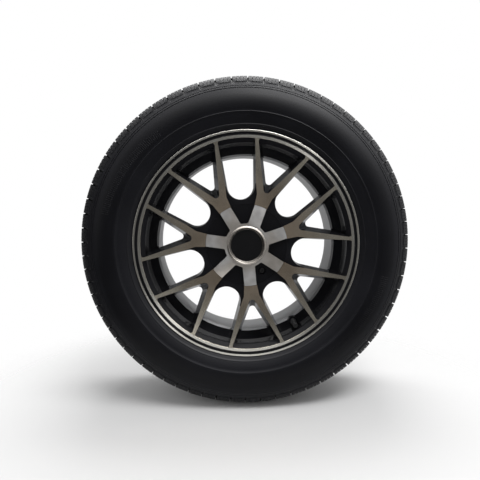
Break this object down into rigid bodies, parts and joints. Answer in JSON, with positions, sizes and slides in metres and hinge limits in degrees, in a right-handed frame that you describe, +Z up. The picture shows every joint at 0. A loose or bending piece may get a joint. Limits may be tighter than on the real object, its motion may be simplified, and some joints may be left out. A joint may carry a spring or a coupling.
{
  "type": "car tyre on alloy wheel",
  "caption": "Passenger-car tyre mounted on a two-tone alloy wheel with forked spokes, a large centre cap and a snap-in valve; bolts to a hub.",
  "frame": {"origin": "centre of the tyre and rim, on the wheel's axis, midway between the rim's flanges", "axes": "+Z up, wheel axis along Y, outer face of the wheel towards -Y, hub and brake side towards +Y"},
  "size_m": [0.6643, 0.222, 0.6644],
  "materials": {
    "tyre_rubber": "matte moulded rubber",
    "wheel_alloy": "machined face, gloss black paint in the recesses",
    "cap_plastic": "silver paint on the arms, black webs",
    "bezel_silver": "silver paint",
    "disc_black": "gloss black",
    "screw_steel": "dark zinc",
    "valve_rubber": "matte",
    "valve_brass": "turned",
    "core_steel": "bright",
    "dust_cap_plastic": "matte"
  },
  "bodies": {
    "wheel": {"tyre": "tyre_rubber", "alloy_wheel": "wheel_alloy", "centre_cap": "cap_plastic", "cap_bezel": "bezel_silver", "cap_disc": "disc_black", "cap_screw": "screw_steel", "valve_body": "valve_rubber", "valve_tube": "valve_brass", "core_housing": "valve_brass", "core_spring": "core_steel"},
    "valve_pin": {"core_pin": "core_steel", "core_seal": "valve_rubber"},
    "dust_cap_washer": {"cap_seal": "valve_rubber"},
    "dust_cap": {"valve_cap": "dust_cap_plastic"}
  },
  "joints": [
    {"name": "core_press", "type": "slide", "parent": "wheel", "child": "valve_pin", "axis": [0, 1, 0], "range_m": [0, 0.0015], "stiffness_N_per_m": 1000, "springref_m": -0.002, "deforming": ["core_spring"]},
    {"name": "cap_lift", "type": "slide", "parent": "wheel", "child": "dust_cap_washer", "axis": [0, -1, 0], "range_m": [0, 0.006]},
    {"name": "cap_turn", "type": "hinge", "parent": "dust_cap_washer", "child": "dust_cap", "pos_m": [0.09825, -0.08, -0.16122], "axis": [0, -1, 0], "range_deg": [0, 2721]}
  ],
  "couplings": [
    {"joint": "cap_turn", "follows": "cap_lift", "rad_per_m": 7913.3}
  ]
}
